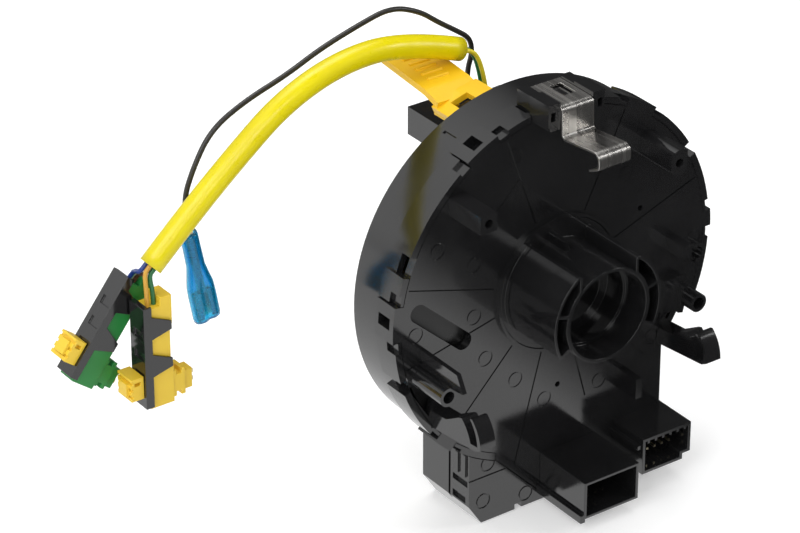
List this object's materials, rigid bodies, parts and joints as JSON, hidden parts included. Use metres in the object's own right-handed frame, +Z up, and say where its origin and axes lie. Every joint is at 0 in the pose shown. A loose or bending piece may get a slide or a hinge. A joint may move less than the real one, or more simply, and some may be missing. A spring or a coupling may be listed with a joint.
{
  "type": "steering clock spring",
  "caption": "Rotary flat-cable connector for a steering column: black drum with sockets in front, hub sleeve, sleeved harness with plugs and a horn lead behind.",
  "frame": {"origin": "on the turning axis, in the plane of the front face", "axes": "-Y along the axis towards the steering column, +Y towards the wheel, +Z up with the harness outlet at the top, +X to the right when seen from the column"},
  "size_m": [0.1734, 0.072, 0.1321],
  "materials": {
    "black_plastic": "glossy near-black moulding",
    "film": "thin slip film",
    "stainless": "bent stainless strip",
    "contact_metal": "plated contacts",
    "ribbon": "laminated flat cable",
    "yellow_plastic": "yellow lock tab",
    "plug_yellow": "yellow plug moulding",
    "plug_green": "green plug moulding",
    "sleeve_yellow": "soft yellow sleeve",
    "wire_yellow": "wire insulation",
    "wire_green": "wire insulation",
    "wire_brown": "wire insulation",
    "wire_blue": "wire insulation",
    "wire_amber": "wire insulation",
    "wire_dark": "wire insulation",
    "blue_cover": "translucent insulator"
  },
  "bodies": {
    "stator": {"face_plate": "black_plastic", "left_socket": "black_plastic", "right_socket": "black_plastic", "drum_case": "black_plastic", "terminal_cover": "black_plastic", "spring_clip": "stainless", "left_socket_pins": "contact_metal", "right_socket_pins": "contact_metal", "left_pin_carrier": "black_plastic", "right_pin_carrier": "black_plastic", "outer_cable_block": "black_plastic", "front_slip_film": "film"},
    "rotor": {"hub_sleeve": "black_plastic", "rotor_disc": "black_plastic", "rear_slip_film": "film", "inner_cable_block": "black_plastic", "flat_cable": "ribbon", "harness_sleeve": "sleeve_yellow", "feed_wire_yellow": "wire_yellow", "feed_wire_green": "wire_green", "brown_wire": "wire_brown", "blue_wire": "wire_blue", "amber_wire": "wire_amber", "green_wire": "wire_green", "horn_wire": "wire_dark", "horn_terminal": "contact_metal", "horn_terminal_cover": "blue_cover", "green_plug_body": "plug_green", "green_plug_cover": "black_plastic", "green_plug_contacts": "contact_metal", "yellow_plug_body": "plug_yellow", "yellow_plug_cover": "black_plastic", "yellow_plug_contacts": "contact_metal"},
    "lock_tab": {"lock_tab": "yellow_plastic"},
    "green_lock": {"green_plug_lock": "plug_yellow"},
    "yellow_lock": {"yellow_plug_lock": "plug_yellow"}
  },
  "joints": [
    {"name": "rotor_turn", "type": "hinge", "parent": "stator", "child": "rotor", "pos_m": [0, 0, 0], "axis": [0, -1, 0], "range_deg": [-900, 900]},
    {"name": "lock_tab_pull", "type": "slide", "parent": "rotor", "child": "lock_tab", "axis": [0, 1, 0], "range_m": [0, 0.026]},
    {"name": "green_lock_pull", "type": "slide", "parent": "rotor", "child": "green_lock", "axis": [-0.788, 0, 0.6157], "range_m": [0, 0.003]},
    {"name": "yellow_lock_pull", "type": "slide", "parent": "rotor", "child": "yellow_lock", "axis": [-1, 0, 0], "range_m": [0, 0.003]}
  ]
}
